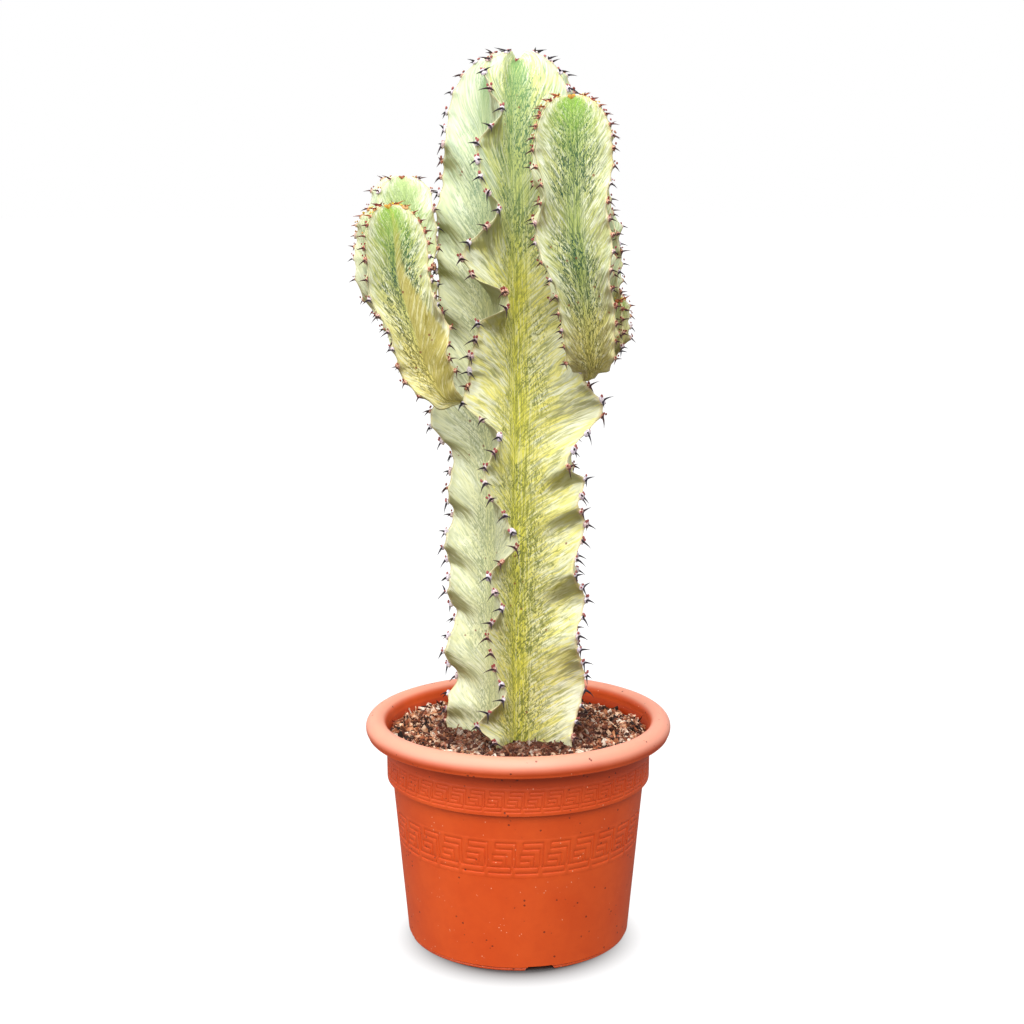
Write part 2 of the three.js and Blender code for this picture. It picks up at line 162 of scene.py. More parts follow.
class Tone:
    """One output socket of a material's nodes. Sums on it add Math nodes."""

    def __init__(self, socket):
        self.socket = socket

    def node(self, kind, settings=None, sockets=None, output=0):
        """A node of this kind in the same material, with its settings and socket values."""
        tree = self.socket.id_data
        made = tree.nodes.new("ShaderNode" + kind)
        for name, value in (settings or {}).items():
            if name == "stops":
                elements = made.color_ramp.elements
                while len(elements) < len(value):
                    elements.new(1)
                for element, (place, colour) in zip(elements, value):
                    element.position = place
                    element.color = colour
            else:
                setattr(made, name, value)
        for name, value in (sockets or {}).items():
            if isinstance(value, Tone):
                tree.links.new(value.socket, made.inputs[name])
            else:
                made.inputs[name].default_value = value
        return Tone(made.outputs[output])

    def sum(self, operation, other, turned=False):
        pair = {0: other, 1: self} if turned else {0: self, 1: other}
        return self.node("Math", {"operation": operation}, pair)

    def __add__(self, other):
        return self.sum("ADD", other)

    def __radd__(self, other):
        return self.sum("ADD", other, True)

    def __sub__(self, other):
        return self.sum("SUBTRACT", other)

    def __rsub__(self, other):
        return self.sum("SUBTRACT", other, True)

    def __mul__(self, other):
        return self.sum("MULTIPLY", other)

    def __rmul__(self, other):
        return self.sum("MULTIPLY", other, True)

    def __pow__(self, other):
        return self.sum("POWER", other)

    def over(self, low, high):
        """0 below low and 1 above high, with a smooth change between."""
        return self.node("MapRange", {"interpolation_type": "SMOOTHSTEP"},
                         {"Value": self, "From Min": low, "From Max": high})

    def reading(self, name):
        """A value that the mesh carries under this name."""
        return self.node("Attribute", {"attribute_name": name}, output="Fac")

    def axis(self, letter):
        """One coordinate of this place or direction."""
        return self.node("SeparateXYZ", {}, {0: self}, letter)

    def off_axis(self):
        """This place's distance from the pot's upright axis."""
        flat = self.node("VectorMath", {"operation": "MULTIPLY"}, {0: self, 1: (1, 1, 0)})
        return self.node("VectorMath", {"operation": "LENGTH"}, {0: flat}, "Value")

    def cells(self, scale):
        """Distance to the nearest of many scattered points."""
        return self.node("TexVoronoi", {"feature": "F1"}, {"Vector": self, "Scale": scale})

    def bump(self, strength, depth, height):
        """A surface dented to this depth, in metres, by a height from 0 to 1."""
        return self.node("Bump", {}, {"Strength": strength, "Distance": depth, "Height": height})

    def grain(self, scale, detail=3, roughness=0.55, distortion=0):
        """Noise at this place, from 0 to 1."""
        return self.node("TexNoise", {"noise_dimensions": "3D"}, {
            "Vector": self, "Scale": scale, "Detail": detail, "Roughness": roughness,
            "Distortion": distortion})

    def blend(self, first, second):
        """A colour between two, by this value from 0 to 1."""
        return self.node("Mix", {"data_type": "RGBA"}, {0: self, 6: first, 7: second}, 2)


def paint(red, green, blue):
    """A colour from its values on a screen, 0 to 255."""
    return tuple((value / 255) ** 2.2 for value in (red, green, blue)) + (1,)


def new_finish(name):
    """A new material, its shader node and the place on the piece."""
    finish = bpy.data.materials.new(name)
    finish.use_nodes = True
    shader = finish.node_tree.nodes["Principled BSDF"]
    place = Tone(shader.outputs[0]).node("TexCoord", output="Object")
    return finish, shader, place


def feed(shader, name, tone):
    """Joins a tone to one of the shader's sockets."""
    shader.id_data.links.new(tone.socket, shader.inputs[name])


plastic, shader, place = new_finish("terracotta_plastic")
cloud = place.grain(26, 4, 0.6)
flow = place.grain(140, 3, 0.5)
rare = place.grain(60, 2, 0.5)
dark_speck = (1 - place.cells(210).over(0.12, 0.21)) * rare.over(0.54, 0.58)
pale_speck = (1 - place.cells(260).over(0.08, 0.15)) * (1 - rare.over(0.37, 0.41))
level = place.axis("Z")
radius = place.off_axis()
upward = place.node("TexCoord", output="Normal").axis("Z")
colour = cloud.over(0.3, 0.7).blend(paint(210, 76, 22), paint(217, 83, 27))
colour = (flow.over(0.35, 0.75) * 0.25).blend(colour, paint(200, 70, 21))
# Painted shade: the collar under the rim and the pot's inner wall are darkened, as where the rim's
# shadow falls.
under_rim_painted_shade = level.over(0.1285, 0.162) * (1 - level.over(0.1615, 0.1625))
inside = level.over(0.130, 0.132) * (1 - radius.over(0.1028, 0.1034))
colour = (0.55 * under_rim_painted_shade + 0.65 * inside).blend(colour, paint(176, 54, 14))
# Painted highlight: the rim's upward faces are paler, a sheen from the light above, and specks are
# left off there.
painted_rim_sheen = level.over(0.163, 0.167) * radius.over(0.104, 0.107)
painted_rim_sheen = painted_rim_sheen * (upward + 0.2 * (cloud - 0.5)).over(-0.50, 0.50)
colour = (painted_rim_sheen * 0.36).blend(colour, paint(255, 220, 196))
colour = (dark_speck * 0.85).blend(colour, paint(96, 36, 18))
colour = (pale_speck * 0.8 * (1 - painted_rim_sheen)).blend(colour, paint(246, 176, 140))
feed(shader, "Base Color", colour)
feed(shader, "Roughness", 0.40 + 0.12 * cloud + 0.05 * flow)
dents = flow * 0.3 + cloud * 0.4 - dark_speck * 0.8 + pale_speck * 0.4
feed(shader, "Normal", place.bump(0.4, 0.0003, dents))
shader.inputs["IOR"].default_value = 1.5
pot.data.materials.append(plastic)
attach(pot, "root")
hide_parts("pot")

# Key bands. A traditional running key is drawn in the wall by narrow grooves, in two bands: large
# on the body and small on the collar. Each band lies flush in a shallow seat of the moulding, and
# its gaps are the grooves. A key's lines and uprights are given in shares of its width.
KEY_EDGES = [0, 0.03, 0.08, 0.12, 0.25, 0.29, 0.355, 0.395, 0.60, 0.64, 0.74, 0.78, 0.89, 0.93,
             0.96, 1]
KEY_LINES = {
    1: [(0.08, 0.93)], 3: [(0.03, 0.93)], 5: [(0.25, 0.64)], 7: [(0.25, 0.78)],
    9: [(0.355, 1)], 11: [(0.355, 1), (0, 0.12)],
}
KEY_UPRIGHTS = [
    (0.08, 0.12, 4, 10), (0.96, 1, 4, 8), (0.74, 0.78, 4, 6), (0.60, 0.64, 4, 4),
    (0.355, 0.395, 10, 10), (0.25, 0.29, 6, 6), (0.89, 0.93, 2, 2),
]
KEY_GROOVE = 0.24


def is_groove(share, row):
    """Whether the wall is cut away at this share of a key's width, in this row."""
    if any(low < share < high for low, high in KEY_LINES.get(row, [])):
        return True
    return any(low < share < high and first <= row <= last
               for low, high, first, last in KEY_UPRIGHTS)


def key_band(name, lowest, step, count, turn, depth, seat, wall):
    """Keys side by side round the pot. The lowest line lies at this height, and the other five
    follow at steps. seat is the band's lower and upper edge. wall gives the radius at a height."""
    levels = [seat[0]]
    for line in range(6):
        levels += [lowest + line * step, lowest + (line + KEY_GROOVE) * step]
    levels.append(seat[1])
    across = len(KEY_EDGES) - 1
    deselect()
    bpy.ops.mesh.primitive_grid_add(x_subdivisions=across * count, y_subdivisions=13, size=2)
    band = bpy.context.object
    band.name = band.data.name = name
    edit(False)
    bpy.ops.mesh.select_mode(type="FACE")
    close_edit()
    for face in band.data.polygons:
        place = int((face.center.x + 1) / 2 * across * count) % across
        middle = (KEY_EDGES[place] + KEY_EDGES[place + 1]) / 2
        face.select = is_groove(middle, int((face.center.y + 1) / 2 * 13))
    for vertex in band.data.vertices:
        key, place = divmod(round((vertex.co.x + 1) / 2 * across * count), across)
        angle = turn + (key + KEY_EDGES[place]) * 2 * math.pi / count
        level = levels[round((vertex.co.y + 1) / 2 * 13)]
        vertex.co = (wall(level) * math.sin(angle), -wall(level) * math.cos(angle), level)
    bpy.ops.object.mode_set(mode="EDIT")
    bpy.ops.mesh.delete(type="FACE")
    bpy.ops.mesh.select_all(action="SELECT")
    bpy.ops.mesh.remove_doubles(threshold=0.00001)
    bpy.ops.mesh.normals_make_consistent(inside=False)
    close_edit()
    shell = band.modifiers.new("shell", "SOLIDIFY")
    shell.thickness = depth + 0.0005
    shell.offset = -1
    shell.use_even_offset = True
    bpy.ops.object.modifier_apply(modifier=shell.name)
    bevel = band.modifiers.new("bevel", "BEVEL")
    bevel.width = 0.00025
    bevel.segments = 2
    bevel.limit_method = "ANGLE"
    bpy.ops.object.modifier_apply(modifier=bevel.name)
    bpy.ops.object.shade_smooth_by_angle(angle=math.radians(50))
    band.data.materials.append(plastic)
    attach(band, "root")


key_band("body_key_band", 0.0806, 0.00488, 29, math.radians(-2.3), 0.0003, (0.0764, 0.1096),
         lambda z: 0.09467 + (z - 0.0770) * 0.0906)
key_band("collar_key_band", 0.1320, 0.00304, 44, math.radians(1.8), 0.00035, (0.1299, 0.1505),
         lambda z: 0.10362 + (z - 0.1304) * 0.0092)

# Shape of the stems. A stem is an axis with ribs round it: each flank rises from the valley between
# two ribs to a thin margin that waves from side to side, and over the cap the ribs close on the
# growing tip. Sizes here are millimetres, and the mesh is made in metres. A flank's share is 0 in
# the valley and 1 on the margin, and a wave fades towards the valley by the fold's power.
CREST_THICKNESS = 4.4
FLANK_HOLLOW = 2.0
FOLD_POWER = 2.0
VALLEY_ROUNDING = 0.28
VALLEY_CLOSING = 0.35
ROW_STEP = 2.3
FLANK_SHARES = [0, 0.07, 0.16, 0.26, 0.36, 0.46, 0.56, 0.65, 0.74, 0.82, 0.89, 0.95, 1]


def along(pairs, height):
    """A smooth curve through [height, value] pairs, level at each pair."""
    heights = np.array([pair[0] for pair in pairs], float)
    values = np.array([pair[1] for pair in pairs], float)
    height = np.clip(height, heights[0], heights[-1])
    index = np.clip(np.searchsorted(heights, height, "right") - 1, 0, len(pairs) - 2)
    share = (height - heights[index]) / (heights[index + 1] - heights[index])
    share = share * share * (3 - 2 * share)
    return values[index] + (values[index + 1] - values[index]) * share


def listed(*pairs):
    return lambda height: along(pairs, height)


def wave(size, length, phase):
    """A margin's plain sway: two sines of unlike length."""
    def sway(height):
        turn = 2 * np.pi * height / length + phase
        return size * (0.7 * np.sin(turn) + 0.3 * np.sin(1.7 * turn + 1))
    return sway


def axis_points(path, count=600):
    """A smooth line through the path's points, as places along it and their distances."""
    points = np.array(path, float)
    points = np.vstack([2 * points[0] - points[1], points, 2 * points[-1] - points[-2]])
    spans = []
    for p0, p1, p2, p3 in zip(points, points[1:], points[2:], points[3:]):
        d0, d1, d2 = (np.sqrt(np.linalg.norm(b - a)) for a, b in ((p0, p1), (p1, p2), (p2, p3)))
        t1 = ((p1 - p0) / d0 - (p2 - p0) / (d0 + d1) + (p2 - p1) / d1) * d1
        t2 = ((p2 - p1) / d1 - (p3 - p1) / (d1 + d2) + (p3 - p2) / d2) * d1
        t = np.linspace(0, 1, count // (len(path) - 1))[:, None]
        spans.append(p1 + t1 * t + (3 * (p2 - p1) - 2 * t1 - t2) * t ** 2
                     + (2 * (p1 - p2) + t1 + t2) * t ** 3)
    line = np.concatenate(spans)
    distance = np.concatenate([[0], np.cumsum(np.linalg.norm(np.diff(line, axis=0), axis=1))])
    return line, distance


def unit(vectors):
    return vectors / np.linalg.norm(vectors, axis=-1, keepdims=True)


class Stem:
    """One stem: its axis, its ribs, and the rows of points that its skin passes through. Each rib
    has an azimuth, a reach and a sway. Areoles on the cap are closer where crowd is larger."""

    def __init__(self, path, ribs, valley, valleys, cap, dimple, tip, areole, lag, rooted=0,
                 seat=None, crowd=0.75):
        self.ribs, self.valley, self.valleys = ribs, valley, valleys
        self.cap, self.dimple = cap, dimple
        self.tip, self.areole, self.lag, self.rooted, self.seat = tip, areole, lag, rooted, seat
        self.crowd = crowd
        self.line, self.distance = axis_points(path)
        self.length = self.distance[-1]
        self.end_reach = ribs[0][1](self.line[-1, 2])

    def frame(self, distance):
        """Centre, up, right and front of the axis at these distances along it."""
        def at(value):
            return np.stack([np.interp(value, self.distance, self.line[:, k])
                             for k in range(3)], -1)
        distance = np.clip(distance, 0, self.length)
        centre = at(distance)
        up = unit(at(np.minimum(distance + 1.5, self.length)) - at(np.maximum(distance - 1.5, 0)))
        right = unit(np.array([1.0, 0, 0]) - up * up[..., :1])
        return centre, up, right, np.cross(right, up)

    def point(self, rib, distance, close, side, share, proud=0.0, thick=1.0):
        """Points on a rib's flank: share 0 in the valley, 1 on the margin."""
        azimuth, reach, swing = self.ribs[rib]
        centre, up, right, front = self.frame(distance)
        height = centre[..., 2]
        width = np.cos(close)

        def outwards(turn):
            angle = math.radians(turn)
            return right * math.sin(angle) + front * math.cos(angle)
        far = self.tip * (1 - width) + (reach(height) + proud) * width
        near = self.valley(height) * width ** VALLEY_CLOSING
        half = side * np.minimum(CREST_THICKNESS, 0.55 * far) * thick / 2
        crest = (centre + outwards(azimuth) * far[..., None]
                 + outwards(azimuth + 90) * np.broadcast_to(half, far.shape)[..., None]
                 + up * (self.cap * np.sin(close))[..., None])
        span = (self.ribs[0][1](height) * math.cos(math.pi / len(self.ribs))
                - self.valley(height)) * width
        near = near + span * max(0, VALLEY_ROUNDING - share) ** 2 / (2 * VALLEY_ROUNDING)
        sink = (centre + outwards(self.valleys[rib if side > 0 else rib - 1]) * near[..., None]
                + up * ((self.cap - self.dimple) * np.sin(close))[..., None])
        start = np.clip((height - self.rooted) / 40, 0, 1)
        lag = self.lag * start * start * (3 - 2 * start)
        level = np.maximum(height, self.rooted) + self.cap * np.sin(close)
        waved = level + lag * (1 - share)
        frill = 0.25 * np.sin(2 * np.pi * waved / (0.93 * self.areole) + 1.7 * rib) * share ** 2.5
        sway = (swing(waved) * share ** FOLD_POWER + frill) * width
        hollow = side * FLANK_HOLLOW * 4 * share * (1 - share) * np.minimum(1, far / 30)
        return (sink + (crest - sink) * share
                + outwards(azimuth + 90) * (sway - hollow)[..., None])

    def rows(self):
        """Distances along the axis and closing angles of the skin's rows."""
        steps = max(2, round(self.length / ROW_STEP))
        straight = np.linspace(0, self.length, steps)
        turns = max(8, round(np.pi / 2 * (self.end_reach + self.cap) / 2 / ROW_STEP))
        close = np.radians(np.linspace(0, 87, turns)[1:])
        return (np.concatenate([straight, np.full(len(close), self.length)]),
                np.concatenate([np.zeros(steps), close]))

    def areoles(self):
        """Distance and closing angle of every areole on a rib."""
        count = int((self.length - self.areole / 2) / self.areole)
        found = [(self.length - (count - index + 0.35) * self.areole, 0.0)
                 for index in range(1, count + 1)]
        arc = math.radians(112 / self.crowd * self.areole / (self.end_reach + self.cap))
        turn = 0.55 * arc
        while turn < math.radians(84):
            found.append((self.length, turn))
            turn += arc
        return found


def mesh_piece(name, points, faces):
    """A piece made from its points, in metres, and its faces."""
    mesh = bpy.data.meshes.new(name)
    mesh.from_pydata(points.tolist(), [], faces)
    piece = bpy.data.objects.new(name, mesh)
    bpy.context.scene.collection.objects.link(piece)
    return piece


def give(piece, **values):
    """Gives a piece's points the values that its material reads."""
    for name, numbers in values.items():
        piece.data.attributes.new(name, "FLOAT", "POINT").data.foreach_set(
            "value", np.asarray(numbers, np.float32))


def scallops(stem, distance, close):
    """How near to an areole each row of the skin is, 1 at its middle."""
    near = np.zeros(len(distance))
    for place, turn in stem.areoles():
        gap = np.where(close > 0, (close - turn) * stem.end_reach + (stem.length - place),
                       (distance - place) - turn * stem.end_reach)
        near += np.exp(-(gap / 2.6) ** 2)
    return near


def skin_rows(stem, distance, close):
    """The skin's points row by row, and the share across its flank and the panel of each place
    in a row. A panel is the skin between two margins."""
    scallop = scallops(stem, distance, close)
    rings, across, panel = [], [], []

    def flank(rib, side, share):
        proud = (1.3 * scallop - 0.7) * share ** 6
        thick = 0.5 + (0.6 * scallop.clip(0, 1) - 0.25) * share ** 8
        rings.append(stem.point(rib, distance, close, side, share, proud, thick))
        across.append(-side * share)
        panel.append(rib if side < 0 else (rib + 1) % len(stem.ribs))
    for rib in range(len(stem.ribs)):
        for share in FLANK_SHARES:
            flank(rib, -1, share)
        rings.append(stem.point(rib, distance, close, 0, 1.0, 1.3 * scallop - 0.3))
        across.append(1.0)
        panel.append(rib)
        for share in FLANK_SHARES[:0:-1]:
            flank(rib, 1, share)
    return np.stack(rings, 1), across, panel


def closed_faces(rows, ring):
    """Faces between the rows of a closed skin, with a point at its foot and one at its tip."""
    after = [(place + 1) % ring for place in range(ring)]
    faces = [(low + place, low + after[place], low + ring + after[place], low + ring + place)
             for low in range(0, (rows - 1) * ring, ring) for place in range(ring)]
    last = (rows - 1) * ring
    for place in range(ring):
        faces.append((after[place], place, rows * ring))
        faces.append((last + place, last + after[place], rows * ring + 1))
    return faces


def stem_skin(stem, name):
    """The closed skin of a stem, with the values that its material reads. A stem that grows from
    another narrows on a neck to its seat there."""
    distance, close = stem.rows()
    points, across, panel = skin_rows(stem, distance, close)
    centre, up, _, _ = stem.frame(distance)
    foot, neck = centre[0], []
    if stem.seat is not None:
        foot = np.array(stem.seat)
        for share in (0.3, 0.6, 0.85):
            middle = centre[0] * share + foot * (1 - share)
            neck.append(middle + (points[0] - centre[0]) * (0.45 + 0.55 * share ** 2))
        points = np.concatenate([np.array(neck), points])
    rows, ring = points.shape[:2]
    tip = centre[-1] + up[-1] * (stem.cap - stem.dimple)
    skin = mesh_piece(name, np.concatenate([points.reshape(-1, 3), [foot, tip]]) / 1000,
                      closed_faces(rows, ring))
    skin.data.update()
    length = np.repeat(np.concatenate([np.zeros(len(neck)), distance + close * 40]), ring)

    def ended(numbers):
        return np.concatenate([numbers, [numbers[0], numbers[-1]]])
    give(skin, across=ended(np.tile(across, rows)), panel=ended(np.tile(panel, rows)),
         climb=ended(length / 1000), below_tip=ended((length - length[-1]) / 1000),
         downward=[-vertex.normal.z for vertex in skin.data.vertices])
    skin.data.shade_smooth()
    return skin


def skin_finish(name, low, high, change, tip, shade, stripe_width, slope, marking, green=0.9,
                halved=0):
    """A succulent's skin. low and high are the colours of its margins, its ground, the stripe in
    each valley and the dashes, below and above the heights in change. shade is the colour of the
    painted shade, in streaks, under a fold, slope how far streaks climb on the way to the margin,
    in metres, and marking how strong the dashes are, green how far the tip's colour reaches to the
    margin, and halved how far one flank of the front panel has turned the colour of flesh."""
    finish, shader, place = new_finish(name)
    across, panel, climb = (place.reading(kind) for kind in ("across", "panel", "climb"))
    aside = across.node("Math", {"operation": "ABSOLUTE"}, {0: across})
    height = place.axis("Z")
    drift = place.grain(26, 3, 0.6)
    rise = height + 0.05 * (drift - 0.5)
    first = 1 - panel.over(0.2, 0.8)
    rise = 1 - (1 - rise.over(*change)) * (1 - 0.3 * first)
    margin, ground, stripe, dash = (rise.blend(*pair) for pair in zip(low, high))
    fan = slope[0] + rise * (slope[1] - slope[0])
    slant = climb - fan * aside ** 0.7 + 0.007 * drift

    # Stretched noise: streaks that slant from the valley up to the margin, and threads and dashes
    # that climb in the valley.
    def streaks(slow, fast, detail, roughness, layer, line=slant, twist=0.2):
        spot = across.node("CombineXYZ", {}, {
            "X": across * slow + panel * 7.3, "Y": line * fast, "Z": layer})
        return spot.grain(1.0, detail, roughness, twist)
    broad = streaks(1.5, 85, 3, 0.6, 0.0)
    lines = streaks(2.2, 300, 3, 0.65, 3.1)
    hairs = streaks(3.4, 640, 3, 0.7, 7.7)
    veins = streaks(3.0, 520, 2, 0.6, 11.3)
    bristles = streaks(4.6, 430, 2, 0.5, 15.9)
    threads = streaks(38, 40, 3, 0.6, 5.2, climb, 0.6)
    dashes = streaks(26, 230, 2, 0.5, 9.4, climb, 1.6)
    ticks = streaks(8, 480, 2, 0.5, 6.1, slant, 0.9)
    patch = place.grain(19, 3, 0.55)

    # The ground pales towards the margin, and an olive stripe fills the valley.
    reach = aside + 0.6 * (broad - 0.5) + 0.6 * (lines - 0.5)
    ground = (first * 0.55).blend(ground, margin)
    stripe = (first * 0.65).blend(stripe, ground)
    colour = reach.over(0.20, 0.98).blend(ground, margin)
    core = aside + 0.25 * (lines - 0.5) + 0.2 * (broad - 0.5)
    colour = ((1 - core.over(stripe_width * 0.4, stripe_width * 2.4)) * 0.9).blend(colour, stripe)

    # Pale and dark streaks of the flanks.
    colour = (hairs.over(0.50, 0.55) * 0.85 * aside.over(0.08, 0.35)).blend(colour, margin)
    colour = (lines.over(0.47, 0.41) * 0.70 * aside.over(0.10, 0.30)).blend(colour, ground)
    colour = (bristles.over(0.54, 0.60) * 0.60 * aside.over(0.08, 0.30)).blend(
        colour, paint(240, 242, 222))
    colour = (bristles.over(0.45, 0.39) * 0.45 * (1 - aside.over(0.7, 1.0))).blend(colour, dash)
    colour = (veins.over(0.52, 0.61) * 0.42 * (1 - aside.over(0.55, 1.1))).blend(colour, dash)
    colour = (broad.over(0.50, 0.40) * 0.45 * aside.over(0.1, 0.4)).blend(colour, ground)

    # Threads in the stripe, and green dashes and flecks beside it.
    middle = 1 - aside.over(stripe_width * 0.8, stripe_width * 2.6)
    colour = (threads.over(0.53, 0.60) * 0.60 * middle).blend(colour, dash)
    colour = (threads.over(0.47, 0.40) * 0.50 * middle).blend(colour, margin)
    dots = dashes.over(0.53, 0.58) * (1 - aside.over(stripe_width * 1.6, stripe_width * 3.8))
    colour = (dots * marking * patch.over(0.34, 0.52)).blend(colour, dash)
    flecks = ticks.over(0.55, 0.61) * (1 - aside.over(0.5, 1.0)) * patch.over(0.40, 0.58)
    colour = (flecks * marking * 0.8).blend(colour, dash)
    colour = (first * 0.3).blend(colour, margin)

    # Painted shade under the folds, where the skin faces down, and the flank that is half flesh.
    under = place.reading("downward") + lines - 0.5 + 0.9 * (hairs - 0.5)
    under = under.over(0.10, 0.50) * aside.over(0.2, 0.7)
    colour = (under * 0.7).blend(colour, shade)
    if halved:
        spread = 0.9 * (1 - height.over(0.46, 0.54))
        flesh = across.over(-0.03, 0.04) * panel.over(0.4, 0.6) * (1 - panel.over(1.4, 1.6))
        flesh = flesh * (1 - (across - spread + 0.3 * (lines - 0.5)).over(0.10, 0.26))
        fleshy = bristles.over(0.42, 0.58).blend(paint(146, 134, 50), paint(218, 212, 156))
        colour = (flesh * halved).blend(colour, lines.over(0.70, 0.42).blend(
            fleshy, paint(178, 164, 84)))

    # Young skin at the tip, a corky margin and a few scars.
    fresh = (place.reading("below_tip") + 0.03 * (broad - 0.5)).over(-0.085, -0.01) * (
        0.35 + 0.65 * hairs.over(0.56, 0.46))
    colour = (fresh * (1 - aside.over(0.4 * green, green)) * 0.9).blend(colour, tip)
    rim = aside.over(0.86, 0.94) * (1 - aside.over(0.95, 0.98))
    colour = (rim * 0.12).blend(colour, shade)
    edge = aside.over(0.96, 0.99)
    colour = (edge * 0.6).blend(colour, paint(206, 188, 138))
    scar = (1 - place.cells(110).over(0.07, 0.14)) * patch.over(0.54, 0.58)
    colour = (scar * 0.8).blend(colour, paint(122, 66, 40))
    feed(shader, "Base Color", colour)
    feed(shader, "Roughness", 0.42 + 0.2 * lines + 0.15 * edge)
    relief = lines * 0.7 + broad * 0.5 + hairs * 0.4 - dots * 0.2
    feed(shader, "Normal", place.bump(0.7, 0.0006, relief))
    return finish


# Main column. Five ribs on a straight, fleshy stem that is rooted 40 mm deep in the soil. Its skin
# is cream and yellow-green, with an olive stripe in every valley.
column = Stem(
    path=[[0, 0, 124], [0, 0, 250], [0.5, 0, 400], [0, 0, 530], [-1, 0, 634]],
    ribs=[
        (-20,
         listed([168, 54], [200, 57], [430, 57], [442, 51], [462, 56], [600, 57], [634, 54]),
         listed([168, 2], [180, -13], [210, 11], [228, 2], [257, -4], [277, 8], [298, -3],
                [327, 20], [345, 11], [362, -2], [376, -7], [405, 6], [431, -24], [455, -19],
                [488, -11], [502, 13], [511, 11], [522, -14], [537, -23], [573, 7], [590, -7],
                [616, -11], [642, 9], [656, -2], [678, -20], [685, 0])),
        (52,
         listed([168, 56], [212, 58], [252, 63], [276, 57], [304, 62], [336, 57], [353, 62],
                [368, 58], [395, 59], [424, 68], [445, 63], [458, 54], [480, 58], [634, 54]),
         listed([168, -4], [212, 9], [252, -9], [276, 10], [304, -12], [336, 9], [353, -7],
                [368, 7], [383, -17], [424, 16], [446, 0], [470, -6], [500, 7], [535, -8],
                [575, 8], [634, -4])),
        (124,
         listed([168, 51], [300, 52], [400, 52], [438, 58], [460, 51], [550, 51], [600, 57],
                [634, 54]),
         wave(8, 62, 0.4)),
        (196, listed([168, 55], [340, 58], [600, 57], [634, 54]), wave(11, 70, 2.2)),
        (266,
         listed([168, 57], [190, 55], [205, 48], [226, 57], [257, 49], [272, 55], [288, 53],
                [312, 57], [338, 51], [350, 54], [380, 51], [412, 68], [424, 65], [438, 54],
                [474, 55], [505, 61], [566, 61], [590, 57], [634, 52]),
         listed([168, -2], [186, 6], [204, -7], [232, 9], [258, -6], [285, 8], [297, -5],
                [318, 8], [334, -6], [357, 9], [382, -5], [405, 4], [438, 0], [460, 5],
                [478, -6], [500, 4], [520, -5], [535, 4], [548, -5], [570, 6], [595, -7],
                [622, 8], [640, -4])),
    ],
    valley=listed([168, 18.5], [300, 21], [420, 23], [634, 23]),
    valleys=[-5, 84, 160, 231, 293],
    cap=51, dimple=8, tip=7, areole=11.8, lag=26, rooted=168)
column_skin = stem_skin(column, "column_skin")
column_skin.data.materials.append(skin_finish(
    "column_skin",
    low=(paint(220, 220, 184), paint(232, 224, 118), paint(218, 211, 76), paint(108, 116, 54)),
    high=(paint(196, 208, 178), paint(218, 220, 126), paint(206, 216, 132), paint(74, 114, 76)),
    change=(0.50, 0.60), tip=paint(96, 146, 76), shade=paint(116, 110, 30),
    stripe_width=0.17, slope=(0.040, 0.062), marking=0.85, green=0.42))
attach(column_skin, "root")
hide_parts("column")

# Side stems. Each has four ribs and grows from an areole of the column on a short woody neck.
def side_stem(path, turn, reach, ribs, seat, cap=33, own=None, areole=12):
    """turn is the first rib's azimuth and ribs are the sways of all four, which share a reach
    unless own gives theirs. seat is the point on the column that the neck grows from."""
    width = listed(*reach)
    own = own or {}
    return Stem(
        path=path,
        ribs=[(turn + 90 * index, own.get(index, width), swing)
              for index, swing in enumerate(ribs)],
        valley=lambda height: 0.4 * width(height) + 1.2,
        valleys=[turn + 45 + 90 * index for index in range(4)],
        cap=cap, dimple=3, tip=4.5, areole=areole, lag=10, seat=seat,
        crowd=1.4 if areole == 12 else 1)


arm_left_front = side_stem(
    [[-48, -54, 434], [-57, -58, 440], [-69, -60, 459], [-80, -62, 490], [-90, -62, 523],
     [-91.5, -62, 541]],
    -31, [[432, 7], [439, 15], [450, 23], [478, 30], [520, 32], [541, 32]],
    [listed([440, 0], [460, -3], [472, 2], [488, 4], [512, -2], [532, 1], [541, 0]),
     listed([440, 2], [462, -3], [480, 5], [500, -3], [520, -2], [541, 0]),
     wave(4, 44, 1), wave(3, 40, 0.2)],
    seat=(-41, -46, 431), own={3: listed([434, 5], [452, 14], [495, 20], [510, 31], [541, 32])})
arm_left_back = side_stem(
    [[-73, 4, 431], [-77, 4, 444], [-80, 3, 466], [-85, 2, 496], [-88, 2, 526], [-88, 2, 562]],
    -30, [[430, 5], [440, 9], [462, 17], [500, 28], [562, 31]],
    [wave(4, 46, 0.5), wave(4, 42, 1.5), wave(4, 44, 2.5), wave(4, 40, 3.5)],
    seat=(-62, 4, 424), areole=15)
arm_right_front = side_stem(
    [[52, -46, 451], [53, -53, 460], [51, -64, 480], [47, -73, 512], [40, -78, 558],
     [38, -79, 617]],
    -45, [[449, 6], [455, 8], [463, 20], [475, 25], [512, 29], [545, 36], [617, 37.5]],
    [listed([460, 0], [500, 2], [525, 3], [557, -4], [584, 7], [612, -1], [617, 0]),
     listed([460, 0], [500, 1], [527, -4], [550, -1], [575, -5], [605, 1], [617, 0]),
     wave(5, 50, 1.8), wave(5, 46, 0.9)],
    seat=(49, -39, 445))
arm_right_back = side_stem(
    [[58, 37, 447], [65, 31, 458], [66, 21, 476], [61, 11, 508], [59, 6, 546]],
    41, [[449, 6], [460, 13], [480, 21], [505, 24], [546, 25]],
    [wave(2.5, 38, 0.6), wave(2.5, 36, 1.9), wave(1, 40, 2.8), wave(2, 34, 4)],
    seat=(48, 33, 438), cap=27, areole=15,
    own={2: listed([449, 6], [480, 10], [546, 13]), 3: listed([449, 6], [480, 14], [546, 20])})
